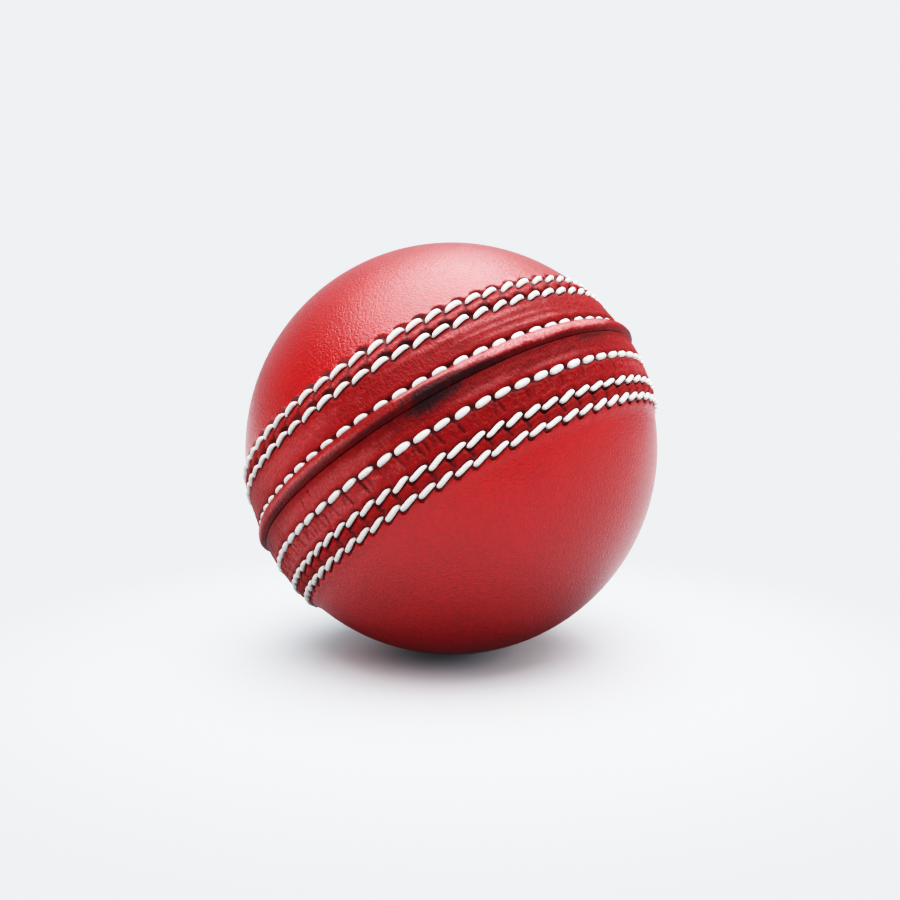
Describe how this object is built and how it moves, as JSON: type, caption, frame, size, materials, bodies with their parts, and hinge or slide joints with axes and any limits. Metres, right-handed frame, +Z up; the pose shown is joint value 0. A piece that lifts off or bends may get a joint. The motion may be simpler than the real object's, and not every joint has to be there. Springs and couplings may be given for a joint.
{
  "type": "cricket ball",
  "caption": "Hard red leather ball with a raised, hand-stitched seam round its middle, over a core of wound wool and cork.",
  "frame": {"origin": "the centre of the ball", "axes": "+Z up as the ball lies on a level surface, touching it at its lowest point; the seam's axis leans 35.6 degrees from +Z towards -X and +Y"},
  "size_m": [0.0721, 0.0734, 0.0719],
  "materials": {
    "red_leather": "satin",
    "waxed_thread": "satin",
    "wool_yarn": "matte",
    "sheet_cork": "matte",
    "cork_rubber": "matte"
  },
  "bodies": {
    "root": {"upper_cup": "red_leather", "lower_cup": "red_leather", "stitch_row_1": "waxed_thread", "stitch_row_2": "waxed_thread", "stitch_row_3": "waxed_thread", "stitch_row_4": "waxed_thread", "stitch_row_5": "waxed_thread", "stitch_row_6": "waxed_thread", "outer_winding": "wool_yarn", "middle_winding": "wool_yarn", "inner_winding": "wool_yarn", "outer_cork_upper": "sheet_cork", "outer_cork_lower": "sheet_cork", "inner_cork_upper": "sheet_cork", "inner_cork_lower": "sheet_cork", "core_pill": "cork_rubber"}
  },
  "joints": []
}
